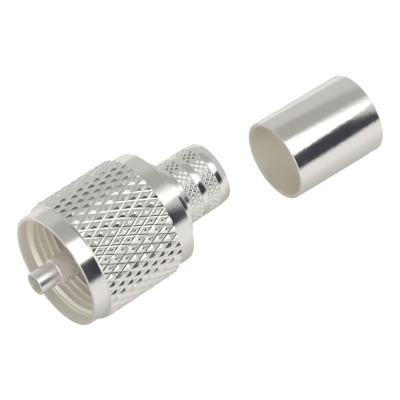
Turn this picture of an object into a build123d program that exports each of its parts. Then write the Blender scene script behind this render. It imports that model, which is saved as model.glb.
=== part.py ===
from build123d import *
import os
from math import ceil, cos, pi, radians, sin, tan

# A crimp plug of the UHF series for thick coaxial cable, lying on its side with its crimp ferrule
# set down behind it, not yet crimped. X runs along the plug from the mating end to the cable end,
# Z is up, and X = 0 is the mating plane, where the shoulder of the shell meets the socket.
# The plug's own axis is the X axis. All sizes are in millimetres.

# Coupling nut, which spins on the neck of the shell
nut_length = 17.7
nut_reach = 7.6  # from the mating plane forwards to the rim
band_diameter = 17.25
front_band_length = 2.5
rear_band_length = 2.74
thread_minor_diameter = 14.9
rim_bore_diameter = 16.1
rim_bore_depth = 1.4
lead_in_length = 0.52
lip_thickness = 2.4
lip_clearance = 0.1  # radial, on the neck
end_play = 0.15  # between the lip and the shell's shoulder

# Diamond knurl of the nut: two crossing sets of V grooves between broad flat tops
knurl_diameter = 18.4
knurl_depth = 0.34
knurl_count = 42
knurl_rise_left = 27.0
knurl_rise_right = 23.8
knurl_flat = 0.46  # width of a flat top, as a share of its diamond
nut_first_row = 1.0  # from the front end of the knurl to the first row of diamonds
nut_knurl_phase = -35.3

# Shell, the front half of the body
shoulder_diameter = 14.2
spigot_diameter = 12.4
spigot_length = 2.2
insulator_diameter = 10.2
neck_diameter = 10.6
neck_bore_diameter = 8.8
shell_edge = 0.25
tooth_width = 2.2
tooth_height = 0.9
tooth_count = 2

# Crimp stem, pressed into the back of the neck
stem_flange_diameter = 12.6
stem_flange_length = 1.32
stem_gap = 0.43  # between the back of the nut and the flange
stem_diameter = 9.54
stem_length = 8.35  # from the back of the flange to the cable end
stem_spigot_length = 4.0
stem_spigot_gap = 0.63  # between the spigot and the step that stops the insulator
cable_bore_diameter = 7.5
stem_end_length = 1.08
stem_end_drop = 0.22
stem_band_length = 2.12
stem_front_land = 1.3
stem_middle_land = 0.97
stem_knurl_depth = 0.24
stem_knurl_rise = 0.05  # of the crests above the plain stem
stem_knurl_count = 34
stem_knurl_angle = 42.0
stem_first_row = 0.4
stem_knurl_phase = 0.0

# Centre contact, a hollow pin that the core is soldered into
pin_diameter = 3.96
pin_root_diameter = 4.4  # inside the insulator
pin_tip_diameter = 3.36
pin_reach = 11.2  # from the mating plane forwards to the tip
pin_tip_length = 3.4
pin_bore_diameter = 2.6
pin_collar_diameter = 5.4
pin_collar_length = 1.2

# Insulator round the contact
insulator_recess = 0.3  # of its face behind the end of the spigot
insulator_clearance = 0.02

# Crimp ferrule, a plain tube set down behind the plug on the same surface
ferrule_diameter = 12.15
ferrule_bore_diameter = 11.0
ferrule_length = 15.2
ferrule_edge = 0.2
ferrule_distance = 10.16  # from the cable end of the stem
ferrule_offset = -2.46
ferrule_turn = -2.4

# Places along the axis that several pieces share
nut_front = -nut_reach
nut_back = nut_front + nut_length
knurl_start = nut_front + front_band_length
knurl_length = nut_length - front_band_length - rear_band_length
lip_front = nut_back - lip_thickness
shoulder_back = lip_front - end_play
flange_front = nut_back + stem_gap
flange_back = flange_front + stem_flange_length
stem_back = flange_back + stem_length
stem_spigot_start = flange_front - stem_spigot_length
insulator_floor = stem_spigot_start - stem_spigot_gap
spigot_front = -spigot_length
insulator_front = spigot_front + insulator_recess
collar_front = insulator_floor - pin_collar_length


def turned(profile):
    """A solid turned about the X axis from closed (x, radius) corners."""
    outline = Polyline(*profile, close=True)
    return revolve(make_face(outline), Axis.X, 360)


def rod(start, end, diameter):
    """A plain cylinder about the X axis."""
    radius = diameter / 2
    return turned([(start, 0), (start, radius), (end, radius), (end, 0)])


def polar(x, radius, angle):
    """A point on a circle about the X axis, with the angle measured from the top."""
    return Vector(x, radius * sin(angle), radius * cos(angle))


def triangle(a, b, c):
    """A flat face on three points."""
    return Face(Wire.make_polygon([a, b, c], close=True))


def diamond_faces(centre, crossings, crest_radius, root_radius, flat_share):
    """One raised diamond, from its centre and four groove crossings: pointed, or with a flat top."""
    centre_x, centre_angle = centre
    roots = [polar(x, root_radius, angle) for x, angle in crossings]
    if not flat_share:
        peak = polar(centre_x, crest_radius, centre_angle)
        return [triangle(roots[here], roots[(here + 1) % 4], peak) for here in range(4)]
    tops = []
    for x, angle in crossings:
        top_x = centre_x + flat_share * (x - centre_x)
        top_angle = centre_angle + flat_share * (angle - centre_angle)
        tops.append(polar(top_x, crest_radius, top_angle))
    faces = [triangle(tops[0], tops[1], tops[2]), triangle(tops[0], tops[2], tops[3])]
    for here in range(4):
        after = (here + 1) % 4
        faces.append(triangle(roots[here], roots[after], tops[after]))
        faces.append(triangle(roots[here], tops[after], tops[here]))
    return faces


def knurled_bar(start, length, crest_diameter, depth, count, rises, flat_share, first_row, phase):
    """A solid bar between two planes whose surface is a diamond knurl."""
    crest_radius = crest_diameter / 2
    root_radius = crest_radius - depth
    pitch = 2 * pi / count
    slope_left, slope_right = tan(radians(rises[0])), tan(radians(rises[1]))
    spacing = pitch * crest_radius / (slope_left + slope_right)
    drift = (slope_right - slope_left) / 2 * spacing / crest_radius
    first = -2
    last = ceil((length - first_row) / spacing) + 1

    def crossing(column, row):
        angle = radians(phase) + column * (pitch / 2 + drift) + row * pitch
        return start + first_row + column * spacing, angle

    def root(column, row):
        x, angle = crossing(column, row)
        return polar(x, root_radius, angle)

    faces = []
    for column in range(first + 1, last):
        for row in range(count):
            x, angle = crossing(column, row)
            corners = [crossing(column - 1, row + 1), (x, angle),
                       crossing(column + 1, row), (x, angle + pitch)]
            faces += diamond_faces((x, angle + pitch / 2), corners, crest_radius, root_radius, flat_share)
    for end, inner, shift in ((first, first + 1, 0), (last, last - 1, 1)):
        ring = [root(end, row) for row in range(count)]
        for row in range(count):
            faces.append(triangle(ring[row], root(inner, row + shift), ring[(row + 1) % count]))
        faces.append(Face(Wire.make_polygon(ring, close=True)))
    return Solid(Shell(faces)) & rod(start, start + length, crest_diameter + depth)


def coupling_nut():
    """The knurled nut: a thread bore behind a counterbored rim, and a lip that rides on the neck."""
    blank = rod(nut_front, nut_back, band_diameter)
    knurl = knurled_bar(knurl_start, knurl_length, knurl_diameter, knurl_depth, knurl_count,
                        (knurl_rise_left, knurl_rise_right), knurl_flat, nut_first_row, nut_knurl_phase)
    rim = rim_bore_diameter / 2
    thread = thread_minor_diameter / 2
    lip = neck_diameter / 2 + lip_clearance
    seat = nut_front + rim_bore_depth
    bore = turned([(nut_front, 0), (nut_front, rim), (seat, rim), (seat + lead_in_length, thread),
                   (lip_front, thread), (lip_front, lip), (nut_back, lip), (nut_back, 0)])
    return blank + knurl - bore


def front_shell():
    """The turned front of the body: spigot, toothed shoulder and neck, bored for the insulator."""
    shoulder = shoulder_diameter / 2
    spigot = spigot_diameter / 2
    neck = neck_diameter / 2
    body = turned([(spigot_front, 0), (spigot_front, spigot - shell_edge),
                   (spigot_front + shell_edge, spigot), (0, spigot), (0, shoulder),
                   (shoulder_back - shell_edge, shoulder), (shoulder_back, shoulder - shell_edge),
                   (shoulder_back, neck), (flange_front, neck), (flange_front, 0)])
    ring = rod(-tooth_height, 0, shoulder_diameter) - rod(-tooth_height, 0, spigot_diameter)
    for index in range(tooth_count):
        wedge = Box(tooth_height, tooth_width, shoulder, align=(Align.MAX, Align.CENTER, Align.MIN))
        body += ring & Rot(360 / tooth_count * index, 0, 0) * wedge
    bore = rod(spigot_front, insulator_floor, insulator_diameter)
    return body - bore - rod(insulator_floor, flange_front, neck_bore_diameter)


def crimp_stem():
    """The pressed-in back of the body, with the flange that holds the nut and two knurled bands."""
    radius = stem_diameter / 2
    flange = stem_flange_diameter / 2
    spigot = neck_bore_diameter / 2
    taper = stem_back - stem_end_length
    body = turned([(stem_spigot_start, 0), (stem_spigot_start, spigot), (flange_front, spigot),
                   (flange_front, flange), (flange_back, flange), (flange_back, radius),
                   (taper, radius), (stem_back, radius - stem_end_drop), (stem_back, 0)])
    for start in band_starts():
        groove = rod(start, start + stem_band_length, stem_diameter + 1)
        groove -= rod(start, start + stem_band_length, stem_diameter - 1)
        body -= groove
        body += knurled_bar(start, stem_band_length, stem_diameter + 2 * stem_knurl_rise,
                            stem_knurl_depth, stem_knurl_count, (stem_knurl_angle, stem_knurl_angle),
                            0, stem_first_row, stem_knurl_phase)
    return body - rod(stem_spigot_start, stem_back, cable_bore_diameter)


def band_starts():
    """Where the two knurled bands of the stem begin."""
    first = flange_back + stem_front_land
    return first, first + stem_band_length + stem_middle_land


def contact_pin():
    """The hollow stepped pin, with a collar at its back that the insulator holds."""
    tip = pin_tip_diameter / 2
    shank = pin_diameter / 2
    root = pin_root_diameter / 2
    collar = pin_collar_diameter / 2
    front = -pin_reach
    step = front + pin_tip_length
    pin = turned([(front, 0), (front, tip), (step, tip), (step, shank), (insulator_front, shank),
                  (insulator_front, root), (collar_front, root), (collar_front, collar),
                  (insulator_floor, collar), (insulator_floor, 0)])
    return pin - rod(front, insulator_floor, pin_bore_diameter)


def insulator():
    """The bush that holds the pin on the axis, with a counterbore for the pin's collar."""
    block = rod(insulator_front, insulator_floor, insulator_diameter - 2 * insulator_clearance)
    hole = rod(insulator_front, insulator_floor, pin_root_diameter + 2 * insulator_clearance)
    seat = rod(collar_front, insulator_floor, pin_collar_diameter + 2 * insulator_clearance)
    return block - hole - seat


def crimp_ferrule():
    """The plain tube that is crimped over the braid, on the surface that the nut lies on."""
    outer = ferrule_diameter / 2
    inner = ferrule_bore_diameter / 2
    length = ferrule_length
    tube = turned([(0, inner + ferrule_edge), (0, outer - ferrule_edge), (ferrule_edge, outer),
                   (length - ferrule_edge, outer), (length, outer - ferrule_edge),
                   (length, inner + ferrule_edge), (length - ferrule_edge, inner),
                   (ferrule_edge, inner)])
    height = outer - knurl_diameter / 2
    return Pos(stem_back + ferrule_distance, ferrule_offset, height) * Rot(0, 0, ferrule_turn) * tube


os.makedirs("parts", exist_ok=True)
pieces = {
    "coupling_nut": coupling_nut(),
    "front_shell": front_shell(),
    "crimp_stem": crimp_stem(),
    "contact_pin": contact_pin(),
    "insulator": insulator(),
    "crimp_ferrule": crimp_ferrule(),
}
for name, piece in pieces.items():
    export_step(piece, f"parts/{name}.step")
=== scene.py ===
import logging
import math
from collections.abc import Mapping, Sequence
from dataclasses import dataclass, field
from enum import Enum

import bmesh
import bpy
from mathutils import Matrix, Vector


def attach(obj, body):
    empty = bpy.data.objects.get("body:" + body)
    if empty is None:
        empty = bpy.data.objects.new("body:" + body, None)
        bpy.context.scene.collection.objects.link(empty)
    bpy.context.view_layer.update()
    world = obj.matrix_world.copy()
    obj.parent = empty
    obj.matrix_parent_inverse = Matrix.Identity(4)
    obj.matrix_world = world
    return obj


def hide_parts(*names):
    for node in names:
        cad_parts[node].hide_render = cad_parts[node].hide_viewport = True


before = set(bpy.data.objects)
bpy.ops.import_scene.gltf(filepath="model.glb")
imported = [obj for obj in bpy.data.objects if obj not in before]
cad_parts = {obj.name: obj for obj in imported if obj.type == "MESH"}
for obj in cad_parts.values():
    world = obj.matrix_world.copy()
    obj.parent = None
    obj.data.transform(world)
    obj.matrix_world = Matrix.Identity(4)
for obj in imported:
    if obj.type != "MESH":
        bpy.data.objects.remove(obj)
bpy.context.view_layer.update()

# The plug's own axis is X, from the mating end to the cable end, and Z is up. Sizes in the classes
# are in millimetres, and every mesh is made in metres.
MM = 0.001
WELD = 0.0005  # points that lie closer than this become one
SLIVER = 0.0004  # an edge shorter than this is dissolved
CRISP_TURN = 14.0  # degrees between two faces, over which their edge stays crisp
log = logging.getLogger("uhf_plug")


class Body(Enum):
    """The moving bodies that the pieces ride on."""

    PLUG = "plug_body"
    NUT = "nut"
    FERRULE = "ferrule"


class Slot(Enum):
    """The record's material slots."""

    NUT = "nut_plate"
    BODY = "body_plate"
    PIN = "pin_plate"
    INSULATOR = "insulator"
    FERRULE = "ferrule_plate"


class Kind(Enum):
    """The kinds of input that a geometry tree takes."""

    WHOLE = "NodeSocketInt"
    NUMBER = "NodeSocketFloat"
    MATERIAL = "NodeSocketMaterial"


def linear(code: str) -> tuple[float, float, float, float]:
    """Turn an sRGB hex colour into the linear colour that the shaders read.

    Args:
        code: The colour as "#RRGGBB".

    Returns:
        Linear red, green and blue, and an alpha of 1.
    """
    shares = [int(code[i : i + 2], 16) / 255 for i in (1, 3, 5)]
    red, green, blue = (s / 12.92 if s <= 0.04045 else ((s + 0.055) / 1.055) ** 2.4 for s in shares)
    return red, green, blue, 1.0


def add_node(
    tree: bpy.types.NodeTree,
    kind: str,
    inputs: Mapping[str | int, object] | None = None,
    output: str | int = 0,
    **settings: object,
) -> bpy.types.NodeSocket | None:
    """Add a node with its settings, values and links.

    Args:
        tree: The tree that gets the node.
        kind: Blender's name for the node's type.
        inputs: A value, or a socket to link, for each named or numbered input.
        output: Which output to hand back.
        **settings: Properties of the node itself.

    Returns:
        The chosen output socket, or None for a node that has none.
    """
    node = tree.nodes.new(kind)
    for name, value in settings.items():
        setattr(node, name, value)
    for name, value in (inputs or {}).items():
        if isinstance(value, bpy.types.NodeSocket):
            tree.links.new(value, node.inputs[name])
        else:
            node.inputs[name].default_value = value
    return node.outputs[output] if len(node.outputs) else None


def new_tree(name: str, inputs: Mapping[str, Kind]) -> tuple[bpy.types.NodeTree, bpy.types.Node]:
    """Start a geometry tree with named inputs.

    Args:
        name: The tree's name.
        inputs: The name and kind of each input after the geometry itself.

    Returns:
        The tree and its group input node.
    """
    tree = bpy.data.node_groups.new(name, "GeometryNodeTree")
    tree.interface.new_socket("Geometry", in_out="INPUT", socket_type="NodeSocketGeometry")
    for label, kind in inputs.items():
        tree.interface.new_socket(label, in_out="INPUT", socket_type=kind.value)
    tree.interface.new_socket("Geometry", in_out="OUTPUT", socket_type="NodeSocketGeometry")
    return tree, add_node(tree, "NodeGroupInput").node


def wrap_round(
    tree: bpy.types.NodeTree,
    x: bpy.types.NodeSocket,
    radius: bpy.types.NodeSocket,
    angle: bpy.types.NodeSocket,
) -> bpy.types.NodeSocket:
    """Turn places given about the X axis into positions.

    Args:
        tree: The tree that gets the nodes.
        x: Place along the axis.
        radius: Distance from the axis.
        angle: Angle from the top, in radians.

    Returns:
        The position.
    """
    side = add_node(tree, "ShaderNodeMath", {0: angle}, operation="SINE")
    rise = add_node(tree, "ShaderNodeMath", {0: angle}, operation="COSINE")
    y = add_node(tree, "ShaderNodeMath", {0: radius, 1: side}, operation="MULTIPLY")
    z = add_node(tree, "ShaderNodeMath", {0: radius, 1: rise}, operation="MULTIPLY")
    return add_node(tree, "ShaderNodeCombineXYZ", {"X": x, "Y": y, "Z": z})


def finish_tree(
    tree: bpy.types.NodeTree, shape: bpy.types.NodeSocket, finish: bpy.types.NodeSocket
) -> None:
    """Close a tree: weld seams and poles, realize instances, set the material.

    Args:
        tree: The tree to close.
        shape: The finished shape.
        finish: The group input that holds the material.
    """
    welded = add_node(
        tree, "GeometryNodeMergeByDistance", {"Geometry": shape, "Distance": WELD * MM}
    )
    real = add_node(tree, "GeometryNodeRealizeInstances", {"Geometry": welded})
    dressed = add_node(tree, "GeometryNodeSetMaterial", {"Geometry": real, "Material": finish})
    add_node(tree, "NodeGroupOutput", {"Geometry": dressed})


def add_object(name: str, data: bpy.types.ID) -> bpy.types.Object:
    """Put a new object into the scene.

    Args:
        name: Its name.
        data: Its mesh or camera.

    Returns:
        The object, at the origin.
    """
    made = bpy.data.objects.new(name, data)
    bpy.context.scene.collection.objects.link(made)
    return made


def grow(
    name: str, seed_mesh: bpy.types.Mesh, tree: bpy.types.NodeTree, values: Mapping[str, object]
) -> bpy.types.Object:
    """Run a geometry tree on a mesh and keep the result as a plain mesh.

    Args:
        name: The name of the new object.
        seed_mesh: The mesh that the tree starts from.
        tree: The geometry tree.
        values: A value for each named input of the tree.

    Returns:
        The object, with no modifier left on it.
    """
    piece = add_object(name, seed_mesh)
    modifier = piece.modifiers.new("shape", "NODES")
    modifier.node_group = tree
    for item in tree.interface.items_tree:
        if item.in_out == "INPUT" and item.name in values:
            modifier[item.identifier] = values[item.name]
    view = bpy.context.evaluated_depsgraph_get()
    mesh = bpy.data.meshes.new_from_object(piece.evaluated_get(view), depsgraph=view)
    piece.modifiers.remove(modifier)
    piece.data = mesh
    mesh.name = name
    close_up(mesh)
    return piece


def close_up(mesh: bpy.types.Mesh) -> None:
    """Point a closed mesh's faces outwards and keep its edges crisp where it turns sharply.

    Args:
        mesh: The mesh, which is changed in place.
    """
    work = bmesh.new()
    work.from_mesh(mesh)
    bmesh.ops.dissolve_degenerate(work, dist=SLIVER * MM, edges=work.edges)
    if work.calc_volume(signed=True) < 0:
        bmesh.ops.reverse_faces(work, faces=work.faces)
    work.to_mesh(mesh)
    work.free()
    mesh.shade_smooth()
    mesh.set_sharp_from_angle(angle=math.radians(CRISP_TURN))


def ride(piece: bpy.types.Object, body: Body, slot: Slot, *nodes: str) -> None:
    """Hand a piece to the frame.

    Args:
        piece: The finished piece.
        body: The body that it moves with.
        slot: The material slot that its finish belongs to; not used.
        *nodes: The CAD nodes that it stands for.
    """
    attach(piece, body.value)
    if nodes:
        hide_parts(*nodes)
    log.info("%s: %d faces on %s", piece.name, len(piece.data.polygons), body.value)


def new_material(name: str) -> tuple[bpy.types.Material, bpy.types.NodeTree]:
    """Start a material with an empty tree.

    Args:
        name: The material's name.

    Returns:
        The material and its tree.
    """
    made = bpy.data.materials.new(name)
    made.use_nodes = True
    made.node_tree.nodes.clear()
    return made, made.node_tree


def distance_from_axis(
    tree: bpy.types.NodeTree, place: bpy.types.NodeSocket
) -> bpy.types.NodeSocket:
    """Measure how far each place is from the X axis.

    Args:
        tree: The tree that gets the nodes.
        place: The places.

    Returns:
        The distance.
    """
    flat = add_node(
        tree, "ShaderNodeVectorMath", {0: place, 1: (0.0, 1.0, 1.0)}, operation="MULTIPLY"
    )
    return add_node(tree, "ShaderNodeVectorMath", {0: flat}, output="Value", operation="LENGTH")


@dataclass(frozen=True)
class SilverPlate:
    """Bright silver plate over turned brass.

    The plate follows the cutter's rings under it and adds a fine pitted grain of its own, so
    mirror-like reflections keep their places but get grainy edges. Inside a bore it is duller,
    because the bath reaches it less well, and its colour there is painted lighter and warmer:
    painted light that lifts the shade in the bore and warms it as bounced light would.

    Attributes:
        name: The material's name.
        colour: Of the plate outside.
        roughness: Where the plate is at its smoothest.
        roughness_spread: How much rougher it gets from patch to patch.
        patch_size: Of those patches, in millimetres.
        ring_spacing: Between the cutter's rings, as coarse as the picture can show.
        ring_depth: Of the rings.
        grain_size: Across a pit of the plate, as coarse as the picture can show.
        grain_depth: Of the pits.
        centre: A point on the turned axis, in millimetres.
        turn: Of the turned axis about Z, in degrees.
        inside_radius: Within which the plate is the inside's, or 0 where it is all alike.
        inside_fade: Over which the one turns into the other.
        inside_roughness: Of the plate inside.
        inside_painted_light_colour: Of the plate inside, painted lighter and warmer as painted
            light.
    """

    name: str
    colour: str = "#F5F4F2"
    roughness: float = 0.12
    roughness_spread: float = 0.05
    patch_size: float = 1.6
    ring_spacing: float = 0.16
    ring_depth: float = 0.0004
    grain_size: float = 0.2
    grain_depth: float = 0.0014
    centre: tuple[float, float, float] = (0.0, 0.0, 0.0)
    turn: float = 0.0
    inside_radius: float = 0.0
    inside_fade: float = 0.05
    inside_roughness: float = 0.5
    inside_painted_light_colour: str = "#FFFCF4"

    def material(self) -> bpy.types.Material:
        """Build the plate's shader.

        Returns:
            The material.
        """
        made, tree = new_material(self.name)
        place = add_node(tree, "ShaderNodeTexCoord", output="Object")
        on_axis = add_node(
            tree,
            "ShaderNodeMapping",
            {
                "Vector": place,
                "Location": [part * MM for part in self.centre],
                "Rotation": (0.0, 0.0, math.radians(self.turn)),
            },
            vector_type="TEXTURE",
        )
        radius = distance_from_axis(tree, on_axis)
        colour: object = linear(self.colour)
        roughness = self.patchy_roughness(tree, place)
        if self.inside_radius:
            inside = add_node(
                tree,
                "ShaderNodeMapRange",
                {
                    "Value": radius,
                    "From Min": (self.inside_radius - self.inside_fade) * MM,
                    "From Max": self.inside_radius * MM,
                    "To Min": 1.0,
                    "To Max": 0.0,
                },
            )
            roughness = add_node(
                tree, "ShaderNodeMix", {0: inside, 2: roughness, 3: self.inside_roughness}
            )
            # Painted light: in the bore the plate's colour is lighter and warmer than outside. This
            # lifts the shade in the bore and warms it as bounced light would.
            colour = add_node(
                tree,
                "ShaderNodeMix",
                {0: inside, 6: colour, 7: linear(self.inside_painted_light_colour)},
                output=2,
                data_type="RGBA",
            )
        shader = add_node(
            tree,
            "ShaderNodeBsdfPrincipled",
            {
                "Base Color": colour,
                "Metallic": 1.0,
                "Roughness": roughness,
                "Normal": self.relief(tree, place, on_axis, radius),
            },
        )
        add_node(tree, "ShaderNodeOutputMaterial", {"Surface": shader})
        return made

    def patchy_roughness(
        self, tree: bpy.types.NodeTree, place: bpy.types.NodeSocket
    ) -> bpy.types.NodeSocket:
        """Vary the roughness softly from patch to patch, as handling and the bath leave it.

        Args:
            tree: The material's tree.
            place: The place on the piece.

        Returns:
            The roughness.
        """
        patches = add_node(
            tree,
            "ShaderNodeTexNoise",
            {"Vector": place, "Scale": 1 / (self.patch_size * MM), "Detail": 2.0},
        )
        # Nearly all of the noise lies between 0.3 and 0.7.
        return add_node(
            tree,
            "ShaderNodeMapRange",
            {
                "Value": patches,
                "From Min": 0.3,
                "From Max": 0.7,
                "To Min": self.roughness,
                "To Max": self.roughness + self.roughness_spread,
            },
        )

    def relief(
        self,
        tree: bpy.types.NodeTree,
        place: bpy.types.NodeSocket,
        on_axis: bpy.types.NodeSocket,
        radius: bpy.types.NodeSocket,
    ) -> bpy.types.NodeSocket:
        """Lay the plate's pits over the cutter's rings.

        Args:
            tree: The material's tree.
            place: The place on the piece.
            on_axis: The same place, with the turned axis as X.
            radius: Distance from the turned axis.

        Returns:
            The normal.
        """
        along = add_node(tree, "ShaderNodeSeparateXYZ", {0: on_axis}, output="X")
        turned = add_node(tree, "ShaderNodeCombineXYZ", {"X": along, "Y": radius})
        rings = add_node(
            tree,
            "ShaderNodeTexNoise",
            {"Vector": turned, "Scale": 1 / (self.ring_spacing * MM), "Detail": 1.0},
        )
        grain = add_node(
            tree,
            "ShaderNodeTexNoise",
            {"Vector": place, "Scale": 1 / (self.grain_size * MM), "Detail": 0.5},
        )
        ringed = add_node(
            tree,
            "ShaderNodeBump",
            {"Height": rings, "Distance": self.ring_depth * MM, "Strength": 1.0},
        )
        return add_node(
            tree,
            "ShaderNodeBump",
            {"Height": grain, "Distance": self.grain_depth * MM, "Strength": 1.0, "Normal": ringed},
        )


@dataclass(frozen=True)
class TurnedFluoropolymer:
    """White fluoropolymer bar, turned to size.

    It is waxy and slightly see-into, with faint rings from the cutter.

    Attributes:
        name: The material's name.
        colour: Of the bar.
        shade: The slightly darker colour of its clouds.
        cloud_size: Of those clouds, in millimetres.
        roughness: Of the turned face.
        ring_spacing: Between the cutter's rings.
        ring_depth: Of the rings.
        glow_depth: How far light wanders in below the face.
    """

    name: str = "turned_ptfe"
    colour: str = "#E6E2D8"
    shade: str = "#DAD5C8"
    cloud_size: float = 1.2
    roughness: float = 0.42
    ring_spacing: float = 0.25
    ring_depth: float = 0.003
    glow_depth: float = 0.4

    def material(self) -> bpy.types.Material:
        """Build the polymer's shader.

        Returns:
            The material.
        """
        made, tree = new_material(self.name)
        place = add_node(tree, "ShaderNodeTexCoord", output="Object")
        radius = distance_from_axis(tree, place)
        turned = add_node(tree, "ShaderNodeCombineXYZ", {"X": radius})
        rings = add_node(
            tree, "ShaderNodeTexNoise", {"Vector": turned, "Scale": 1 / (self.ring_spacing * MM)}
        )
        cloud = add_node(
            tree,
            "ShaderNodeTexNoise",
            {"Vector": place, "Scale": 1 / (self.cloud_size * MM), "Detail": 3.0},
        )
        tint = add_node(
            tree,
            "ShaderNodeMix",
            {0: cloud, 6: linear(self.colour), 7: linear(self.shade)},
            output=2,
            data_type="RGBA",
        )
        bump = add_node(
            tree, "ShaderNodeBump", {"Height": rings, "Distance": self.ring_depth * MM}
        )
        shader = add_node(
            tree,
            "ShaderNodeBsdfPrincipled",
            {
                "Base Color": tint,
                "Roughness": self.roughness,
                "IOR": 1.35,
                "Subsurface Weight": 0.15,
                "Subsurface Scale": self.glow_depth * MM,
                "Normal": bump,
            },
        )
        add_node(tree, "ShaderNodeOutputMaterial", {"Surface": shader})
        return made


@dataclass(frozen=True)
class Corner:
    """A corner of a turned profile.

    Attributes:
        x: Place along the axis, in millimetres.
        radius: Distance from the axis, in millimetres.
        softness: How far from the corner its rounding starts, in millimetres.
    """

    x: float
    radius: float
    softness: float = 0.0


@dataclass(frozen=True)
class ScrewThread:
    """An inner thread: the form of one pitch, and the bore that it runs out into at both ends.

    Attributes:
        start: Where it begins along the axis.
        end: Where it runs out.
        pitch: Between two turns.
        minor_radius: Of its crests.
        major_radius: Of its roots, and of the bore at its end.
        mouth_radius: Of the bore that it begins in.
        lead_in: How far along the axis its mouth is chamfered.
    """

    start: float
    end: float
    pitch: float = 1.058
    minor_radius: float = 7.45
    major_radius: float = 7.94
    mouth_radius: float = 8.05
    lead_in: float = 0.52

    def rows(self) -> list[tuple[float, float]]:
        """List the rows of the thread's form from its end back to one pitch before its start.

        Returns:
            Pairs of place along the axis and radius, in millimetres.
        """
        depth = self.major_radius - self.minor_radius
        # Crest, flank, root and flank, as shares of the pitch and heights over the crest.
        form = [
            (0.0, 0.06 * depth),
            (0.04, 0.0),
            (0.21, 0.0),
            (0.25, 0.06 * depth),
            (0.52, 0.94 * depth),
            (0.56, depth),
            (0.73, depth),
            (0.77, 0.94 * depth),
        ]
        turns = math.ceil((self.end - self.start) / self.pitch) + 1
        marks = [
            (self.end - (turn + share) * self.pitch, self.minor_radius + rise)
            for turn in range(turns)
            for share, rise in form
        ]
        marks.append((self.end - turns * self.pitch, self.minor_radius + form[0][1]))
        return marks


def soften(corners: Sequence[Corner], steps: int = 3) -> list[tuple[float, float]]:
    """Round the corners of a closed profile.

    Args:
        corners: The corners in order.
        steps: How many pieces each rounding has.

    Returns:
        Points of the profile, with the first one again at its end.
    """
    points: list[tuple[float, float]] = []
    for index, corner in enumerate(corners):
        here = Vector((corner.x, corner.radius))
        if not corner.softness:
            points.append(tuple(here))
            continue
        before, after = corners[index - 1], corners[(index + 1) % len(corners)]
        back = (Vector((before.x, before.radius)) - here).normalized() * corner.softness
        on = (Vector((after.x, after.radius)) - here).normalized() * corner.softness
        for step in range(steps + 1):
            share = step / steps
            points.append(tuple(here + back * (1 - share) ** 2 + on * share**2))
    points.append(points[0])
    return points


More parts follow.
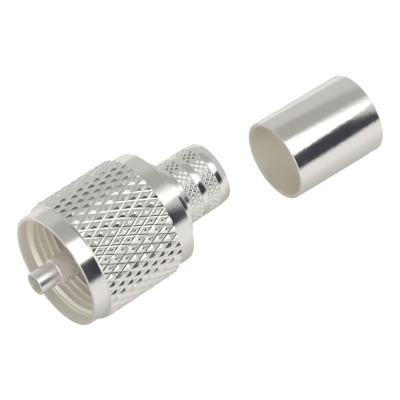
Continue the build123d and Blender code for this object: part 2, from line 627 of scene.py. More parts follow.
@dataclass
class Lathe:
    """Turns closed profiles about the X axis with one geometry tree."""

    tree: bpy.types.NodeTree = field(init=False)

    def __post_init__(self) -> None:
        """Build the tree: a grid of rings by profile points, wrapped round the axis."""
        self.tree, start = new_tree(
            "turned_piece",
            {
                "Segments": Kind.WHOLE,
                "Thread pitch": Kind.NUMBER,
                "Thread start": Kind.NUMBER,
                "Thread end": Kind.NUMBER,
                "Thread mouth radius": Kind.NUMBER,
                "Thread major radius": Kind.NUMBER,
                "Thread lead-in slope": Kind.NUMBER,
                "Material": Kind.MATERIAL,
            },
        )
        tree, given = self.tree, start.outputs
        count = add_node(tree, "GeometryNodeAttributeDomainSize", {0: given["Geometry"]})
        rings = add_node(
            tree, "FunctionNodeIntegerMath", {0: given["Segments"], 1: 1}, operation="ADD"
        )
        grid = add_node(
            tree, "GeometryNodeMeshGrid", {"Vertices X": rings, "Vertices Y": count}, output="Mesh"
        )
        index = add_node(tree, "GeometryNodeInputIndex")
        ring = add_node(
            tree, "FunctionNodeIntegerMath", {0: index, 1: count}, operation="DIVIDE_FLOOR"
        )
        step = add_node(tree, "FunctionNodeIntegerMath", {0: index, 1: count}, operation="MODULO")
        point = add_node(
            tree,
            "GeometryNodeSampleIndex",
            {
                "Geometry": given["Geometry"],
                "Value": add_node(tree, "GeometryNodeInputPosition"),
                "Index": step,
            },
            data_type="FLOAT_VECTOR",
        )
        threaded = add_node(
            tree,
            "GeometryNodeSampleIndex",
            {
                "Geometry": given["Geometry"],
                "Value": add_node(tree, "GeometryNodeInputNamedAttribute", {"Name": "threaded"}),
                "Index": step,
            },
            data_type="FLOAT",
        )
        parts = add_node(tree, "ShaderNodeSeparateXYZ", {0: point}).node.outputs
        share = add_node(
            tree, "ShaderNodeMath", {0: ring, 1: given["Segments"]}, operation="DIVIDE"
        )
        wound, opened = self.cut_thread(given, share, parts["X"], parts["Y"])
        x = add_node(tree, "ShaderNodeMix", {0: threaded, 2: parts["X"], 3: wound})
        radius = add_node(tree, "ShaderNodeMix", {0: threaded, 2: parts["Y"], 3: opened})
        angle = add_node(tree, "ShaderNodeMath", {0: share, 1: math.tau}, operation="MULTIPLY")
        place = wrap_round(tree, x, radius, angle)
        shape = add_node(tree, "GeometryNodeSetPosition", {"Geometry": grid, "Position": place})
        finish_tree(tree, shape, given["Material"])

    def cut_thread(
        self,
        given: bpy.types.NodeOutputs,
        share: bpy.types.NodeSocket,
        x: bpy.types.NodeSocket,
        radius: bpy.types.NodeSocket,
    ) -> tuple[bpy.types.NodeSocket, bpy.types.NodeSocket]:
        """Wind the rows of a thread's form into a helix, and open the bore at both its ends.

        Args:
            given: The tree's inputs.
            share: Of the whole turn round the axis.
            x: Place of a row along the axis.
            radius: Of a row.

        Returns:
            The place along the axis and the radius once the thread is cut.
        """
        tree = self.tree
        helix = add_node(
            tree,
            "ShaderNodeMath",
            {0: share, 1: given["Thread pitch"], 2: x},
            operation="MULTIPLY_ADD",
        )
        kept = add_node(
            tree,
            "ShaderNodeClamp",
            {"Value": helix, "Min": given["Thread start"], "Max": given["Thread end"]},
        )
        past = add_node(
            tree, "ShaderNodeMath", {0: given["Thread start"], 1: kept}, operation="SUBTRACT"
        )
        mouth = add_node(
            tree,
            "ShaderNodeMath",
            {0: past, 1: given["Thread lead-in slope"], 2: given["Thread mouth radius"]},
            operation="MULTIPLY_ADD",
        )
        short = add_node(
            tree, "ShaderNodeMath", {0: kept, 1: given["Thread end"]}, operation="SUBTRACT"
        )
        runout = add_node(
            tree,
            "ShaderNodeMath",
            {0: short, 1: given["Thread lead-in slope"], 2: given["Thread major radius"]},
            operation="MULTIPLY_ADD",
        )
        wider = add_node(tree, "ShaderNodeMath", {0: mouth, 1: runout}, operation="MAXIMUM")
        return kept, add_node(tree, "ShaderNodeMath", {0: wider, 1: radius}, operation="MAXIMUM")

    def turn(
        self,
        name: str,
        corners: Sequence[Corner],
        finish: bpy.types.Material,
        segments: int = 192,
        thread: ScrewThread | None = None,
    ) -> bpy.types.Object:
        """Turn one closed profile into a piece.

        Args:
            name: The piece's name.
            corners: The corners of its profile.
            finish: Its material.
            segments: How many flats go round it.
            thread: A thread that is cut between the last corner and the first.

        Returns:
            The piece.
        """
        points = soften(corners)
        rows = thread.rows() if thread else []
        outline = points[:-1] + rows + points[-1:]
        mesh = bpy.data.meshes.new(name)
        mesh.from_pydata([(x * MM, radius * MM, 0.0) for x, radius in outline], [], [])
        flags = mesh.attributes.new("threaded", "FLOAT", "POINT")
        first = len(points) - 1
        flags.data.foreach_set(
            "value", [float(first <= i < first + len(rows)) for i in range(len(outline))]
        )
        values: dict[str, object] = {"Segments": segments, "Material": finish}
        if thread:
            slope = (thread.mouth_radius - thread.minor_radius) / thread.lead_in
            values |= {
                "Thread pitch": thread.pitch * MM,
                "Thread start": thread.start * MM,
                "Thread end": thread.end * MM,
                "Thread mouth radius": thread.mouth_radius * MM,
                "Thread major radius": thread.major_radius * MM,
                "Thread lead-in slope": slope,
            }
        return grow(name, mesh, self.tree, values)


@dataclass(frozen=True)
class Knurl:
    """Sizes of a diamond knurl: two crossing sets of V grooves round a bar.

    Attributes:
        start: Its front end along the axis.
        length: Its length.
        crest_radius: Over the diamonds' tops.
        inner_radius: Of the sleeve that carries it, inside the bar.
        depth: Of the grooves, from their lowest line to the tops.
        count: How many grooves each set has.
        rise_left: Angle of one set to the bar's axis, in degrees.
        rise_right: Angle of the other set.
        flat_share: Width of a diamond's flat top over the diamond's own.
        first_row: From the front end to the first ring of diamonds.
        phase: Where the pattern starts round the bar, in degrees from the top.
    """

    start: float
    length: float
    crest_radius: float
    inner_radius: float
    depth: float
    count: int
    rise_left: float
    rise_right: float
    flat_share: float
    first_row: float
    phase: float

    @property
    def spacing(self) -> float:
        """Distance between two rings of groove crossings."""
        slopes = math.tan(math.radians(self.rise_left)) + math.tan(math.radians(self.rise_right))
        return math.tau / self.count * self.crest_radius / slopes

    @property
    def twist(self) -> float:
        """Turn of one groove set over one spacing, in radians."""
        return math.tan(math.radians(self.rise_right)) * self.spacing / self.crest_radius

    @property
    def front(self) -> float:
        """The front end, counted in spacings from the first ring."""
        return -self.first_row / self.spacing

    @property
    def rear(self) -> float:
        """The rear end, counted in spacings from the first ring."""
        return (self.length - self.first_row) / self.spacing


@dataclass
class KnurlingTool:
    """Rolls diamond knurls: one diamond's grid is repeated over the bar and raised by one rule.

    A point of the flat pattern has u and w, its places between the grooves of either set. Their
    difference runs along the bar and u goes round it. Past the ends the pattern closes inwards to
    a plain sleeve.

    Attributes:
        marks: Where a diamond's grid is ruled, as shares of its side.
        flank_start: How far from a groove's middle its flank would reach the full depth, as a
            share of the diamond.
        floor_slopes: Of the gentler floor between the flanks, for either set: the share of the
            depth that it would rise over one diamond.
    """

    marks: tuple[float, ...] = (0.0, 0.07, 0.14, 0.4, 0.6, 0.86, 0.93, 1.0)
    flank_start: float = 0.09
    floor_slopes: tuple[float, float] = (1.15, 0.9)
    tree: bpy.types.NodeTree = field(init=False)

    def __post_init__(self) -> None:
        """Build the tree that lays, bends and raises the diamonds."""
        self.tree, start = new_tree(
            "diamond_knurl",
            {
                "Count": Kind.WHOLE,
                "First ring": Kind.WHOLE,
                "Rings": Kind.WHOLE,
                "Origin": Kind.NUMBER,
                "Spacing": Kind.NUMBER,
                "Front": Kind.NUMBER,
                "Rear": Kind.NUMBER,
                "Phase": Kind.NUMBER,
                "Twist": Kind.NUMBER,
                "Return turn": Kind.NUMBER,
                "Crest radius": Kind.NUMBER,
                "Inner radius": Kind.NUMBER,
                "Depth": Kind.NUMBER,
                "Flank share": Kind.NUMBER,
                "Material": Kind.MATERIAL,
            },
        )
        tree, given = self.tree, start.outputs
        shape, u, w = self.lay_diamonds(given)
        v = add_node(tree, "ShaderNodeMath", {0: w, 1: u}, operation="SUBTRACT")
        kept = add_node(
            tree, "ShaderNodeClamp", {"Value": v, "Min": given["Front"], "Max": given["Rear"]}
        )
        over = add_node(tree, "ShaderNodeMath", {0: v, 1: given["Rear"]}, operation="SUBTRACT")
        under = add_node(tree, "ShaderNodeMath", {0: given["Front"], 1: v}, operation="SUBTRACT")
        past = add_node(tree, "ShaderNodeMath", {0: over, 1: under}, operation="MAXIMUM")
        # More than one ring past an end is the sleeve's inside, and three past the rear end the
        # pattern is back at the front, where it closes on itself.
        sleeve = add_node(tree, "ShaderNodeMath", {0: past, 1: 1.0}, operation="GREATER_THAN")
        home = add_node(tree, "ShaderNodeMath", {0: over, 1: 3.0}, operation="GREATER_THAN")
        row = add_node(tree, "ShaderNodeMix", {0: home, 2: kept, 3: given["Front"]})
        x = add_node(
            tree,
            "ShaderNodeMath",
            {0: row, 1: given["Spacing"], 2: given["Origin"]},
            operation="MULTIPLY_ADD",
        )
        relief = self.raise_diamonds(given, u, kept)
        radius = add_node(tree, "ShaderNodeMix", {0: sleeve, 2: relief, 3: given["Inner radius"]})
        pitch = add_node(
            tree, "ShaderNodeMath", {0: math.tau, 1: given["Count"]}, operation="DIVIDE"
        )
        round_bar = add_node(
            tree, "ShaderNodeMath", {0: u, 1: pitch, 2: given["Phase"]}, operation="MULTIPLY_ADD"
        )
        twisted = add_node(
            tree,
            "ShaderNodeMath",
            {0: row, 1: given["Twist"], 2: round_bar},
            operation="MULTIPLY_ADD",
        )
        angle = add_node(
            tree,
            "ShaderNodeMath",
            {0: home, 1: given["Return turn"], 2: twisted},
            operation="MULTIPLY_ADD",
        )
        place = wrap_round(tree, x, radius, angle)
        bent = add_node(tree, "GeometryNodeSetPosition", {"Geometry": shape, "Position": place})
        finish_tree(tree, bent, given["Material"])

    def lay_diamonds(
        self, given: bpy.types.NodeOutputs
    ) -> tuple[bpy.types.NodeSocket, bpy.types.NodeSocket, bpy.types.NodeSocket]:
        """Lay one diamond's grid out over the whole flat pattern.

        Args:
            given: The tree's inputs.

        Returns:
            The laid out grids, and each point's u and w.
        """
        tree = self.tree
        total = add_node(
            tree,
            "FunctionNodeIntegerMath",
            {0: given["Count"], 1: given["Rings"]},
            operation="MULTIPLY",
        )
        points = add_node(tree, "GeometryNodePoints", {"Count": total})
        index = add_node(tree, "GeometryNodeInputIndex")
        column = add_node(
            tree, "FunctionNodeIntegerMath", {0: index, 1: given["Count"]}, operation="MODULO"
        )
        ring = add_node(
            tree, "FunctionNodeIntegerMath", {0: index, 1: given["Count"]}, operation="DIVIDE_FLOOR"
        )
        level = add_node(
            tree, "FunctionNodeIntegerMath", {0: ring, 1: given["First ring"]}, operation="ADD"
        )
        across = add_node(tree, "FunctionNodeIntegerMath", {0: level, 1: column}, operation="ADD")
        spot = add_node(tree, "ShaderNodeCombineXYZ", {"X": column, "Y": across})
        spread = add_node(tree, "GeometryNodeSetPosition", {"Geometry": points, "Position": spot})
        laid = add_node(
            tree, "GeometryNodeInstanceOnPoints", {"Points": spread, "Instance": given["Geometry"]}
        )
        shape = add_node(tree, "GeometryNodeRealizeInstances", {"Geometry": laid})
        parts = add_node(
            tree, "ShaderNodeSeparateXYZ", {0: add_node(tree, "GeometryNodeInputPosition")}
        ).node.outputs
        return shape, parts["X"], parts["Y"]

    def raise_diamonds(
        self, given: bpy.types.NodeOutputs, u: bpy.types.NodeSocket, v: bpy.types.NodeSocket
    ) -> bpy.types.NodeSocket:
        """Give each point of the pattern its radius.

        Args:
            given: The tree's inputs.
            u: Place between the grooves of the first set.
            v: Place along the bar, in spacings.

        Returns:
            The radius.
        """
        tree = self.tree
        w = add_node(tree, "ShaderNodeMath", {0: u, 1: v}, operation="ADD")
        height: bpy.types.NodeSocket | float = 1.0  # of the flat tops, as a share of the depth
        for across, slope in zip((u, w), self.floor_slopes):
            groove = add_node(tree, "ShaderNodeMath", {0: across}, operation="ROUND")
            away = add_node(tree, "ShaderNodeMath", {0: across, 1: groove}, operation="SUBTRACT")
            side = add_node(tree, "ShaderNodeMath", {0: away}, operation="ABSOLUTE")
            floor = add_node(tree, "ShaderNodeMath", {0: side, 1: slope}, operation="MULTIPLY")
            flank = add_node(
                tree,
                "ShaderNodeMapRange",
                {"Value": side, "From Min": self.flank_start, "From Max": given["Flank share"]},
                clamp=False,
            )
            cut = add_node(tree, "ShaderNodeMath", {0: floor, 1: flank}, operation="MAXIMUM")
            height = add_node(tree, "ShaderNodeMath", {0: cut, 1: height}, operation="MINIMUM")
        lower = add_node(tree, "ShaderNodeMath", {0: height, 1: 1.0}, operation="SUBTRACT")
        return add_node(
            tree,
            "ShaderNodeMath",
            {0: lower, 1: given["Depth"], 2: given["Crest radius"]},
            operation="MULTIPLY_ADD",
        )

    def diamond(self) -> bpy.types.Mesh:
        """Make one diamond's flat grid, whose corner cells are split along its ridges.

        Returns:
            A unit square of a few dozen faces.
        """
        marks, size = self.marks, len(self.marks)
        points = [(u, w, 0.0) for u in marks for w in marks]
        faces = []
        for i in range(size - 1):
            for j in range(size - 1):
                a, b = i * size + j, (i + 1) * size + j
                c, d = b + 1, a + 1
                if i == j:
                    faces += [(a, b, c), (a, c, d)]
                elif i + j == size - 2:
                    faces += [(a, b, d), (b, c, d)]
                else:
                    faces.append((a, b, c, d))
        mesh = bpy.data.meshes.new("diamond")
        mesh.from_pydata(points, [], faces)
        return mesh

    def roll(self, name: str, knurl: Knurl, finish: bpy.types.Material) -> bpy.types.Object:
        """Roll one knurled sleeve.

        Args:
            name: The piece's name.
            knurl: Its sizes.
            finish: Its material.

        Returns:
            The sleeve.
        """
        # Two rings past the front and three past the rear make the ends and the inside.
        first = math.floor(knurl.front) - 2
        last = math.ceil(knurl.rear) + 3
        pitch = math.tau / knurl.count
        whole_diamonds = round(knurl.twist * (knurl.rear - knurl.front) / pitch)
        values: dict[str, object] = {
            "Count": knurl.count,
            "First ring": first,
            "Rings": last - first + 1,
            "Origin": (knurl.start + knurl.first_row) * MM,
            "Spacing": knurl.spacing * MM,
            "Front": knurl.front,
            "Rear": knurl.rear,
            "Phase": math.radians(knurl.phase),
            "Twist": knurl.twist,
            "Return turn": whole_diamonds * pitch,
            "Crest radius": knurl.crest_radius * MM,
            "Inner radius": knurl.inner_radius * MM,
            "Depth": knurl.depth * MM,
            "Flank share": (1 - knurl.flat_share) / 2,
            "Material": finish,
        }
        return grow(name, self.diamond(), self.tree, values)


@dataclass
class CouplingNut:
    """The knurled nut, threaded inside, that spins on the body."""

    front: float = -7.6
    back: float = 10.1
    band_radius: float = 8.625
    rim_bore_radius: float = 8.05
    rim_bore_depth: float = 1.4
    lip_front: float = 7.7
    lip_radius: float = 5.4
    runout: float = 0.8
    knurl: Knurl = Knurl(
        start=-5.1,
        length=12.46,
        crest_radius=9.2,
        inner_radius=8.3,
        depth=0.23,
        count=42,
        rise_left=27.0,
        rise_right=23.8,
        flat_share=0.2,
        first_row=1.0,
        phase=-35.3,
    )

    def build(self, lathe: Lathe, roller: KnurlingTool, finish: bpy.types.Material) -> None:
        """Turn the nut, cut its thread and roll its knurl.

        Args:
            lathe: The lathe.
            roller: The knurling tool.
            finish: The nut's material.
        """
        thread = ScrewThread(self.front + self.rim_bore_depth, self.lip_front - self.runout)
        corners = [
            Corner(thread.start, self.rim_bore_radius),
            Corner(self.front, self.rim_bore_radius, 0.07),
            Corner(self.front, self.band_radius, 0.12),
            Corner(self.back, self.band_radius, 0.08),
            Corner(self.back, self.lip_radius, 0.12),
            Corner(self.lip_front, self.lip_radius, 0.12),
            Corner(self.lip_front, thread.major_radius),
            Corner(thread.end, thread.major_radius),
        ]
        ride(
            lathe.turn("coupling_nut_body", corners, finish, segments=360, thread=thread),
            Body.NUT,
            Slot.NUT,
            "coupling_nut",
        )
        ride(roller.roll("coupling_nut_knurl", self.knurl, finish), Body.NUT, Slot.NUT)


@dataclass
class FrontShell:
    """The turned front of the body: spigot, toothed shoulder and neck."""

    spigot_front: float = -2.2
    spigot_radius: float = 6.2
    shoulder_radius: float = 7.1
    shoulder_back: float = 7.55
    neck_radius: float = 5.3
    neck_back: float = 10.53
    insulator_radius: float = 5.1
    insulator_floor: float = 5.9
    neck_bore_radius: float = 4.4
    tooth_width: float = 2.2
    tooth_height: float = 0.9
    tooth_inset: float = 0.02  # of its back from the shoulder's rim
    tooth_sink: float = 0.1  # of its root into the spigot
    tooth_root: float = 0.05  # of its root into the shoulder
    tooth_edge: float = 0.08

    def build(self, lathe: Lathe, finish: bpy.types.Material) -> None:
        """Turn the shell and add the teeth of its shoulder.

        Args:
            lathe: The lathe.
            finish: The shell's material.
        """
        corners = [
            Corner(self.spigot_front, self.insulator_radius, 0.12),
            Corner(self.spigot_front, self.spigot_radius, 0.25),
            Corner(0.0, self.spigot_radius, 0.1),
            Corner(0.0, self.shoulder_radius, 0.08),
            Corner(self.shoulder_back, self.shoulder_radius, 0.25),
            Corner(self.shoulder_back, self.neck_radius, 0.1),
            Corner(self.neck_back, self.neck_radius),
            Corner(self.neck_back, self.neck_bore_radius),
            Corner(self.insulator_floor, self.neck_bore_radius),
            Corner(self.insulator_floor, self.insulator_radius),
        ]
        shell = lathe.turn("front_shell_body", corners, finish)
        ride(shell, Body.PLUG, Slot.BODY, "front_shell")
        ride(self.teeth(finish), Body.PLUG, Slot.BODY)

    def teeth(self, finish: bpy.types.Material) -> bpy.types.Object:
        """Mill the two teeth that stand on the shoulder, above and below the spigot.

        Args:
            finish: Their material.

        Returns:
            Both teeth as one piece.
        """
        work = bmesh.new()
        steps = 6
        outer = self.shoulder_radius - self.tooth_inset
        inner = self.spigot_radius - self.tooth_sink
        for side in (1, -1):
            rings = []
            for x in (-self.tooth_height, self.tooth_root):
                ring = []
                for radius, order in (
                    (outer, range(steps + 1)),
                    (inner, range(steps, -1, -1)),
                ):
                    half = math.asin(self.tooth_width / 2 / radius)
                    for step in order:
                        angle = half * (2 * step / steps - 1)
                        spot = (x, radius * math.sin(angle), side * radius * math.cos(angle))
                        ring.append(work.verts.new(Vector(spot) * MM))
                rings.append(ring)
            front, back = rings
            work.faces.new(front)
            work.faces.new(back[::-1])
            for i in range(len(front)):
                j = (i + 1) % len(front)
                work.faces.new((front[j], front[i], back[i], back[j]))
        bmesh.ops.recalc_face_normals(work, faces=work.faces)
        square = math.radians(40)
        sharp = [edge for edge in work.edges if edge.calc_face_angle(0.0) > square]
        bmesh.ops.bevel(
            work,
            geom=sharp,
            offset=self.tooth_edge * MM,
            segments=2,
            profile=0.5,
            affect="EDGES",
        )
        mesh = bpy.data.meshes.new("shoulder_teeth")
        work.to_mesh(mesh)
        work.free()
        mesh.materials.append(finish)
        close_up(mesh)
        return add_object("shoulder_teeth", mesh)


@dataclass
class CrimpStem:
    """The back of the body: a flange, and a tube with two knurled bands under the ferrule."""

    spigot_start: float = 6.53
    spigot_radius: float = 4.4
    flange_front: float = 10.53
    flange_back: float = 11.85
    flange_radius: float = 6.3
    radius: float = 4.77
    bore_radius: float = 3.75
    back: float = 20.2
    taper_length: float = 1.08
    taper_drop: float = 0.22
    band_starts: tuple[float, float] = (13.15, 16.24)
    band_length: float = 2.12
    band_floor: float = 4.5

    def band(self, start: float) -> Knurl:
        """Give the sizes of one knurled band.

        Args:
            start: Its front end along the axis.

        Returns:
            The band's sizes.
        """
        return Knurl(
            start=start,
            length=self.band_length,
            crest_radius=4.82,
            inner_radius=4.2,
            depth=0.14,
            count=34,
            rise_left=42.0,
            rise_right=42.0,
            flat_share=0.22,
            first_row=0.4,
            phase=0.0,
        )

    def build(self, lathe: Lathe, roller: KnurlingTool, finish: bpy.types.Material) -> None:
        """Turn the stem and roll its two bands.

        Args:
            lathe: The lathe.
            roller: The knurling tool.
            finish: The stem's material.
        """
        corners = [
            Corner(self.spigot_start, self.bore_radius, 0.1),
            Corner(self.spigot_start, self.spigot_radius, 0.2),
            Corner(self.flange_front, self.spigot_radius),
            Corner(self.flange_front, self.flange_radius, 0.07),
            Corner(self.flange_back, self.flange_radius, 0.12),
            Corner(self.flange_back, self.radius, 0.35),
        ]
        for start in self.band_starts:
            end = start + self.band_length
            corners += [
                Corner(start, self.radius, 0.04),
                Corner(start, self.band_floor),
                Corner(end, self.band_floor),
                Corner(end, self.radius, 0.04),
            ]
        corners += [
            Corner(self.back - self.taper_length, self.radius, 0.1),
            Corner(self.back, self.radius - self.taper_drop, 0.12),
            Corner(self.back, self.bore_radius, 0.1),
        ]
        ride(lathe.turn("crimp_stem_body", corners, finish), Body.PLUG, Slot.BODY, "crimp_stem")
        for number, start in enumerate(self.band_starts, 1):
            band = roller.roll(f"crimp_stem_knurl_{number}", self.band(start), finish)
            ride(band, Body.PLUG, Slot.BODY)


@dataclass
class ContactPin:
    """The hollow stepped pin in the middle."""

    tip: float = -11.2
    step: float = -7.8
    root: float = -1.9
    collar_front: float = 4.7
    back: float = 5.9
    tip_radius: float = 1.68
    shank_radius: float = 1.98
    root_radius: float = 2.2
    collar_radius: float = 2.7
    bore_radius: float = 1.3

    def build(self, lathe: Lathe, finish: bpy.types.Material) -> None:
        """Turn the pin.

        Args:
            lathe: The lathe.
            finish: The pin's material.
        """
        corners = [
            Corner(self.tip, self.bore_radius, 0.08),
            Corner(self.tip, self.tip_radius, 0.13),
            Corner(self.step, self.tip_radius, 0.06),
            Corner(self.step, self.shank_radius, 0.13),
            Corner(self.root, self.shank_radius, 0.04),
            Corner(self.root, self.root_radius, 0.04),
            Corner(self.collar_front, self.root_radius),
            Corner(self.collar_front, self.collar_radius),
            Corner(self.back, self.collar_radius),
            Corner(self.back, self.bore_radius),
        ]
        pin = lathe.turn("contact_pin_turned", corners, finish, segments=128)
        ride(pin, Body.PLUG, Slot.PIN, "contact_pin")


@dataclass
class Insulator:
    """The bush that holds the pin on the axis."""

    front: float = -1.9
    back: float = 5.9
    seat: float = 4.7
    radius: float = 5.08
    hole_radius: float = 2.22
    seat_radius: float = 2.72

    def build(self, lathe: Lathe, finish: bpy.types.Material) -> None:
        """Turn the bush.

        Args:
            lathe: The lathe.
            finish: The bush's material.
        """
        corners = [
            Corner(self.front, self.hole_radius, 0.06),
            Corner(self.front, self.radius, 0.14),
            Corner(self.back, self.radius),
            Corner(self.back, self.seat_radius),
            Corner(self.seat, self.seat_radius),
            Corner(self.seat, self.hole_radius),
        ]
        bush = lathe.turn("insulator_bush", corners, finish, segments=128)
        ride(bush, Body.PLUG, Slot.INSULATOR, "insulator")


@dataclass
class CrimpFerrule:
    """The plain tube that is crimped over the braid, set down behind the plug."""

    length: float = 15.2
    radius: float = 6.075
    bore_radius: float = 5.5
    place: tuple[float, float, float] = (30.36, -2.46, -3.125)
    turn: float = -2.4

    def build(self, lathe: Lathe, finish: bpy.types.Material) -> None:
        """Turn the tube and set it down in its place.

        Args:
            lathe: The lathe.
            finish: The tube's material.
        """
        corners = [
            Corner(0.0, self.bore_radius, 0.2),
            Corner(0.0, self.radius, 0.22),
            Corner(self.length, self.radius, 0.22),
            Corner(self.length, self.bore_radius, 0.2),
        ]
        tube = lathe.turn("crimp_ferrule_tube", corners, finish)
        spot = Matrix.Translation(Vector(self.place) * MM)
        tube.data.transform(spot @ Matrix.Rotation(math.radians(self.turn), 4, "Z"))
        ride(tube, Body.FERRULE, Slot.FERRULE, "crimp_ferrule")


@dataclass(frozen=True)
class Panel:
    """A soft-edged patch of the room, as the direction that it lies in and what it gives off.

    Attributes:
        azimuth: Its middle, in degrees from +X towards +Y.
        elevation: Its middle above the horizon, in degrees.
        width: In degrees of azimuth.
        height: In degrees of elevation.
        colour: Its colour.
        strength: Its brightness, where 1 is white.
        softness: Widths of its fading edges at the sides and at the top and bottom, in degrees.
    """

    azimuth: float
    elevation: float
    width: float
    height: float
    colour: str
    strength: float = 1.0
    softness: tuple[float, float] = (6.0, 6.0)

    def mask(
        self,
        tree: bpy.types.NodeTree,
        azimuth: bpy.types.NodeSocket,
        elevation: bpy.types.NodeSocket,
    ) -> bpy.types.NodeSocket:
        """Find where in the room the panel shows.

        Args:
            tree: The room's tree.
            azimuth: Of a direction in the room, in radians.
            elevation: Of the same direction.

        Returns:
            1 on the panel, 0 off it, and between the two on its soft edges.
        """
        masks = []
        for value, middle, size, softness in (
            (azimuth, self.azimuth, self.width, self.softness[0]),
            (elevation, self.elevation, self.height, self.softness[1]),
        ):
            away = add_node(
                tree, "ShaderNodeMath", {0: value, 1: math.radians(middle)}, operation="SUBTRACT"
            )
            wrapped = add_node(
                tree, "ShaderNodeMath", {0: away, 1: math.pi, 2: -math.pi}, operation="WRAP"
            )
            distance = add_node(tree, "ShaderNodeMath", {0: wrapped}, operation="ABSOLUTE")
            masks.append(
                add_node(
                    tree,
                    "ShaderNodeMapRange",
                    {
                        "Value": distance,
                        "From Min": math.radians((size - softness) / 2),
                        "From Max": math.radians((size + softness) / 2),
                        "To Min": 1.0,
                        "To Max": 0.0,
                    },
                    interpolation_type="SMOOTHSTEP",
                )
            )
        return add_node(
            tree, "ShaderNodeMath", {0: masks[0], 1: masks[1]}, operation="MULTIPLY"
        )


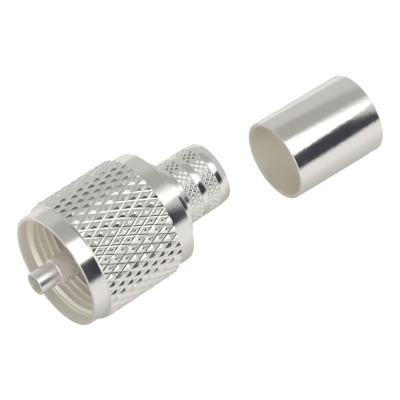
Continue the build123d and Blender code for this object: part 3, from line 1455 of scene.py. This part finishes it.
@dataclass
class Studio:
    """The pale floor, the soft room and the camera.

    The plate is a mirror, so what it shows is this room: a later panel lies over the earlier ones.

    Attributes:
        floor_height: Of the floor, on which the nut's knurl rests.
        floor_size: Of the floor's side.
        card: Its colour.
        grain_size: Of the card's grain, as coarse as the picture can show.
        grain_depth: Of the grain.
        glow_seen: The light that the floor adds of its own where the camera looks at it.
        glow_given: The same as the plug's underside sees it, well beside the plug: painted light.
        painted_shadow_gap: Distances beside the axis where that light begins and where it is full;
            nearer the axis it is taken away, a painted shadow under the plug.
        room: Colour of the room.
        panels: Its patches.
        eye: Where the camera stands.
        right: The picture's right-hand direction.
        up: The picture's upward direction.
        lens: The camera's focal length.
    """

    floor_height: float = -9.2
    floor_size: float = 1600.0
    card: str = "#F2F0EC"
    grain_size: float = 0.8
    grain_depth: float = 0.01
    glow_seen: float = 0.72
    glow_given: float = 0.24
    painted_shadow_gap: tuple[float, float] = (8.0, 22.0)
    room: str = "#C9C8C5"
    panels: tuple[Panel, ...] = (
        # The grey wall high behind the plug.
        Panel(25.0, 62.0, 100.0, 36.0, "#AEACA8", 1.0, (14.0, 14.0)),
        # The window beside the camera, which lights the flanks that face it.
        Panel(-150.0, 28.0, 80.0, 50.0, "#FFFFFF", 1.15, (16.0, 16.0)),
        # The soft box overhead, for the bright stripe along each turned face.
        Panel(-62.0, 67.0, 80.0, 54.0, "#FFFFFF", 1.3, (44.0, 6.0)),
        # The dark canopy near the zenith on the mating side, for the diamonds' dark flanks.
        Panel(177.5, 80.0, 179.0, 34.0, "#4A4B50", 1.0, (3.0, 3.0)),
        # The two dark boards at the side, for the dark stripe below the bright one.
        Panel(-90.0, 26.0, 14.0, 38.0, "#32353F", 1.0, (5.0, 5.0)),
        Panel(-66.0, 23.0, 31.0, 38.0, "#3A3B43", 1.0, (3.0, 3.0)),
    )
    eye: tuple[float, float, float] = (-167.61, -218.03, 332.84)
    right: tuple[float, float, float] = (0.76063, -0.64919, 0.0)
    up: tuple[float, float, float] = (0.49490, 0.57985, 0.64718)
    lens: float = 281.1

    def build(self) -> None:
        """Set up everything round the object."""
        self.lay_floor()
        self.light_room()
        self.set_camera()

    def lay_floor(self) -> None:
        """Lay the floor: matt off-white card that looks white but keeps the plug's shadow."""
        half, z = self.floor_size / 2 * MM, self.floor_height * MM
        edge = [(-half, -half, z), (half, -half, z), (half, half, z), (-half, half, z)]
        mesh = bpy.data.meshes.new("floor")
        mesh.from_pydata(edge, [], [(0, 1, 2, 3)])
        floor = add_object("floor", mesh)
        made, tree = new_material("matt_white_card")
        place = add_node(tree, "ShaderNodeTexCoord", output="Object")
        grain = add_node(
            tree, "ShaderNodeTexNoise", {"Vector": place, "Scale": 1 / (self.grain_size * MM)}
        )
        bump = add_node(
            tree, "ShaderNodeBump", {"Height": grain, "Distance": self.grain_depth * MM}
        )
        card = add_node(
            tree,
            "ShaderNodeBsdfPrincipled",
            {"Base Color": linear(self.card), "Roughness": 0.9, "Normal": bump},
        )
        beside = add_node(tree, "ShaderNodeSeparateXYZ", {0: place}, output="Y")
        away = add_node(tree, "ShaderNodeMath", {0: beside}, operation="ABSOLUTE")
        # Painted shadow: the floor's own glow, which the plug's reflections see, fades out towards
        # the axis, so the floor under the plug looks darker in them.
        given = add_node(
            tree,
            "ShaderNodeMapRange",
            {
                "Value": away,
                "From Min": self.painted_shadow_gap[0] * MM,
                "From Max": self.painted_shadow_gap[1] * MM,
                "To Max": self.glow_given,
            },
        )
        path = add_node(tree, "ShaderNodeLightPath", output="Is Camera Ray")
        lift = add_node(
            tree, "ShaderNodeMapRange", {"Value": path, "To Min": given, "To Max": self.glow_seen}
        )
        glow = add_node(
            tree, "ShaderNodeEmission", {"Color": linear("#FFFFFF"), "Strength": lift}
        )
        both = add_node(tree, "ShaderNodeAddShader", {0: card, 1: glow})
        add_node(tree, "ShaderNodeOutputMaterial", {"Surface": both})
        mesh.materials.append(made)

    def light_room(self) -> None:
        """Light the object with a soft grey room and its panels, behind a white background."""
        world = bpy.data.worlds.new("soft_room")
        bpy.context.scene.world = world
        world.use_nodes = True
        tree = world.node_tree
        tree.nodes.clear()
        way = add_node(tree, "ShaderNodeTexCoord", output="Generated")
        parts = add_node(tree, "ShaderNodeSeparateXYZ", {0: way}).node.outputs
        azimuth = add_node(
            tree, "ShaderNodeMath", {0: parts["Y"], 1: parts["X"]}, operation="ARCTAN2"
        )
        elevation = add_node(tree, "ShaderNodeMath", {0: parts["Z"]}, operation="ARCSINE")
        colour: object = linear(self.room)
        for panel in self.panels:
            mask = panel.mask(tree, azimuth, elevation)
            own = [part * panel.strength for part in linear(panel.colour)[:3]] + [1.0]
            colour = add_node(
                tree, "ShaderNodeMix", {0: mask, 6: colour, 7: own}, output=2, data_type="RGBA"
            )
        room = add_node(tree, "ShaderNodeBackground", {"Color": colour, "Strength": 1.0})
        paper = add_node(
            tree, "ShaderNodeBackground", {"Color": linear("#FFFFFF"), "Strength": 1.0}
        )
        path = add_node(tree, "ShaderNodeLightPath", output="Is Camera Ray")
        shown = add_node(tree, "ShaderNodeMixShader", {0: path, 1: room, 2: paper})
        add_node(tree, "ShaderNodeOutputWorld", {"Surface": shown})

    def set_camera(self) -> None:
        """Set the camera where the photograph was taken from."""
        data = bpy.data.cameras.new("camera")
        data.lens, data.sensor_width = self.lens, 36.0
        data.clip_start, data.clip_end = 0.01, 10.0
        camera = add_object("camera", data)
        right, up = Vector(self.right).normalized(), Vector(self.up).normalized()
        basis = Matrix((right, up, right.cross(up))).transposed().to_4x4()
        camera.matrix_world = Matrix.Translation(Vector(self.eye) * MM) @ basis
        bpy.context.scene.camera = camera


def main() -> None:
    """Build the studio and every piece of the plug."""
    logging.basicConfig(level=logging.INFO, format="%(message)s")
    bpy.context.scene.view_settings.view_transform = "Standard"
    Studio().build()
    lathe, roller = Lathe(), KnurlingTool()
    nut_plate = SilverPlate("silver_plated_nut", inside_radius=8.1).material()
    body_plate = SilverPlate("silver_plated_body", ring_spacing=0.12).material()
    shell_plate = SilverPlate("silver_plated_shell", inside_radius=7.5).material()
    pin_plate = SilverPlate("silver_plated_pin", roughness=0.25, inside_radius=1.4).material()
    tube = CrimpFerrule()
    tube_plate = SilverPlate(
        "silver_plated_tube",
        grain_size=0.38,
        grain_depth=0.008,
        ring_depth=0.0002,
        centre=tube.place,
        turn=tube.turn,
        inside_radius=5.8,
    ).material()
    CouplingNut().build(lathe, roller, nut_plate)
    FrontShell().build(lathe, shell_plate)
    CrimpStem().build(lathe, roller, body_plate)
    ContactPin().build(lathe, pin_plate)
    Insulator().build(lathe, TurnedFluoropolymer().material())
    tube.build(lathe, tube_plate)


if __name__ == "__main__":
    main()
